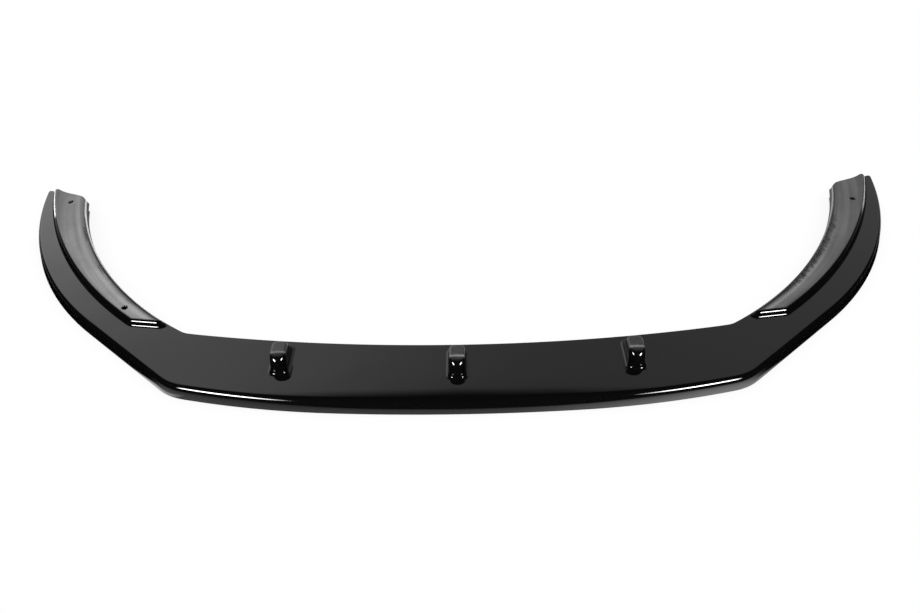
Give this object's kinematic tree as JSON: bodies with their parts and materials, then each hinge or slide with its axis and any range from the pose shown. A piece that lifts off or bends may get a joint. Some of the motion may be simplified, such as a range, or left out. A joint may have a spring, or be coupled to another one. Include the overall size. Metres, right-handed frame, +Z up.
{
  "type": "front splitter lip",
  "caption": "Formed black plastic lip that fits under a car's front bumper: a thin blade with a turned-down edge, swept wings with raised seating pads, and hollow spacer towers.",
  "frame": {"origin": "On the floor under the middle of the lip's overall box, with the skirt's edge on the floor", "axes": "+X to the right as seen from in front of the car, +Y towards the car, +Z up"},
  "size_m": [1.796, 0.641, 0.054],
  "materials": {
    "black_plastic": "gloss black, as formed"
  },
  "bodies": {
    "root": {"splitter_lip": "black_plastic"}
  },
  "joints": []
}
